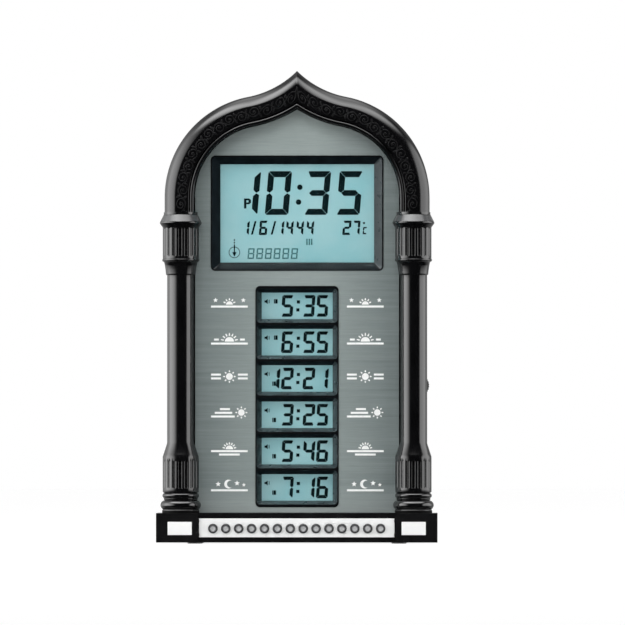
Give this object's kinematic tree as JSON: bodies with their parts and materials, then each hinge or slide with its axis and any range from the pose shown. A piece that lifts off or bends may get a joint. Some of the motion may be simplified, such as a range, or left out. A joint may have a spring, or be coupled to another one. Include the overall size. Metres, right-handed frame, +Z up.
{
  "type": "azan clock",
  "caption": "Mosque-arch table clock with one large and a column of small LCDs, two fluted columns, an ogee arch and a row of push keys in the plinth.",
  "frame": {"origin": "middle of the footprint on the table, under the bounding box", "axes": "+Z up, the front with its displays faces -Y, +X to the right seen from the front"},
  "size_m": [0.19, 0.048, 0.32],
  "materials": {
    "case_black": "moulded, glossy",
    "trim_black": "polished, high gloss",
    "plinth_black": "moulded, satin gloss",
    "rear_black": "fine spark-eroded grain",
    "foot_rubber": "matt",
    "plate_white": "satin white",
    "brushed_face": "brushed, grey",
    "bezel_black": "moulded, semi-gloss",
    "clear_lens": "clear, polished",
    "lcd_glass": "grey-blue display glass with dark segments",
    "backlight_white": "white diffuser",
    "holder_white": "moulded, matt",
    "strip_rubber": "striped conductive silicone",
    "board_green": "glass-fibre board with solder mask",
    "chip_black": "moulded resin",
    "switch_black": "moulded, matt",
    "key_black": "moulded, glossy",
    "cell_wrap": "printed sleeve without text",
    "spring_steel": "nickel plated",
    "speaker_steel": "zinc plated",
    "speaker_paper": "pressed paper cone",
    "magnet_grey": "sintered ferrite",
    "wheel_black": "knurled rim",
    "screw_steel": "black zinc",
    "cable_grey": "flat cable",
    "lead_red": "insulated wire"
  },
  "bodies": {
    "clock": {"front_housing": "case_black", "arch_moulding": "trim_black", "column_left": "trim_black", "column_right": "trim_black", "plinth": "plinth_black", "bottom_cover": "rear_black", "rubber_feet": "foot_rubber", "end_plates": "plate_white", "face_panel": "brushed_face", "main_bezel": "bezel_black", "main_lens": "clear_lens", "main_lcd": "lcd_glass", "main_backlight": "backlight_white", "main_lcd_holder": "holder_white", "small_bezel": "bezel_black", "small_lens": "clear_lens", "small_backlights": "backlight_white", "small_lcd_holder": "holder_white", "contact_strips": "strip_rubber", "main_board": "board_green", "board_chips": "chip_black", "temperature_sensor": "chip_black", "key_board": "board_green", "key_switches": "switch_black", "key_panel": "plate_white", "rear_cover": "rear_black", "batteries": "cell_wrap", "battery_springs": "spring_steel", "battery_contacts": "spring_steel", "speaker_frame": "speaker_steel", "speaker_cone": "speaker_paper", "speaker_magnet": "magnet_grey", "dc_jack": "chip_black", "volume_pot": "board_green", "case_screws": "screw_steel", "board_screws": "screw_steel", "ribbon_cable": "cable_grey", "inner_leads": "lead_red", "small_lcd_1": "lcd_glass", "small_lcd_2": "lcd_glass", "small_lcd_3": "lcd_glass", "small_lcd_4": "lcd_glass", "small_lcd_5": "lcd_glass", "small_lcd_6": "lcd_glass"},
    "key_1": {"key_1": "key_black"},
    "key_2": {"key_2": "key_black"},
    "key_3": {"key_3": "key_black"},
    "key_4": {"key_4": "key_black"},
    "key_5": {"key_5": "key_black"},
    "key_6": {"key_6": "key_black"},
    "key_7": {"key_7": "key_black"},
    "key_8": {"key_8": "key_black"},
    "key_9": {"key_9": "key_black"},
    "key_10": {"key_10": "key_black"},
    "key_11": {"key_11": "key_black"},
    "key_12": {"key_12": "key_black"},
    "key_13": {"key_13": "key_black"},
    "key_14": {"key_14": "key_black"},
    "battery_door": {"battery_door": "rear_black"},
    "volume_wheel": {"volume_wheel": "wheel_black"}
  },
  "joints": [
    {"name": "key_1_press", "type": "slide", "parent": "clock", "child": "key_1", "axis": [0, 1, 0], "range_m": [0, 0.0006], "stiffness_N_per_m": 400, "springref_m": -0.001},
    {"name": "key_2_press", "type": "slide", "parent": "clock", "child": "key_2", "axis": [0, 1, 0], "range_m": [0, 0.0006], "stiffness_N_per_m": 400, "springref_m": -0.001},
    {"name": "key_3_press", "type": "slide", "parent": "clock", "child": "key_3", "axis": [0, 1, 0], "range_m": [0, 0.0006], "stiffness_N_per_m": 400, "springref_m": -0.001},
    {"name": "key_4_press", "type": "slide", "parent": "clock", "child": "key_4", "axis": [0, 1, 0], "range_m": [0, 0.0006], "stiffness_N_per_m": 400, "springref_m": -0.001},
    {"name": "key_5_press", "type": "slide", "parent": "clock", "child": "key_5", "axis": [0, 1, 0], "range_m": [0, 0.0006], "stiffness_N_per_m": 400, "springref_m": -0.001},
    {"name": "key_6_press", "type": "slide", "parent": "clock", "child": "key_6", "axis": [0, 1, 0], "range_m": [0, 0.0006], "stiffness_N_per_m": 400, "springref_m": -0.001},
    {"name": "key_7_press", "type": "slide", "parent": "clock", "child": "key_7", "axis": [0, 1, 0], "range_m": [0, 0.0006], "stiffness_N_per_m": 400, "springref_m": -0.001},
    {"name": "key_8_press", "type": "slide", "parent": "clock", "child": "key_8", "axis": [0, 1, 0], "range_m": [0, 0.0006], "stiffness_N_per_m": 400, "springref_m": -0.001},
    {"name": "key_9_press", "type": "slide", "parent": "clock", "child": "key_9", "axis": [0, 1, 0], "range_m": [0, 0.0006], "stiffness_N_per_m": 400, "springref_m": -0.001},
    {"name": "key_10_press", "type": "slide", "parent": "clock", "child": "key_10", "axis": [0, 1, 0], "range_m": [0, 0.0006], "stiffness_N_per_m": 400, "springref_m": -0.001},
    {"name": "key_11_press", "type": "slide", "parent": "clock", "child": "key_11", "axis": [0, 1, 0], "range_m": [0, 0.0006], "stiffness_N_per_m": 400, "springref_m": -0.001},
    {"name": "key_12_press", "type": "slide", "parent": "clock", "child": "key_12", "axis": [0, 1, 0], "range_m": [0, 0.0006], "stiffness_N_per_m": 400, "springref_m": -0.001},
    {"name": "key_13_press", "type": "slide", "parent": "clock", "child": "key_13", "axis": [0, 1, 0], "range_m": [0, 0.0006], "stiffness_N_per_m": 400, "springref_m": -0.001},
    {"name": "key_14_press", "type": "slide", "parent": "clock", "child": "key_14", "axis": [0, 1, 0], "range_m": [0, 0.0006], "stiffness_N_per_m": 400, "springref_m": -0.001},
    {"name": "battery_door_hinge", "type": "hinge", "parent": "clock", "child": "battery_door", "pos_m": [0, 0.0214, 0.0915], "axis": [1, 0, 0], "range_deg": [0, 88]},
    {"name": "volume_turn", "type": "hinge", "parent": "clock", "child": "volume_wheel", "pos_m": [0.0814, 0.0059, 0.107], "axis": [0, 1, 0], "range_deg": [-140, 140]}
  ]
}
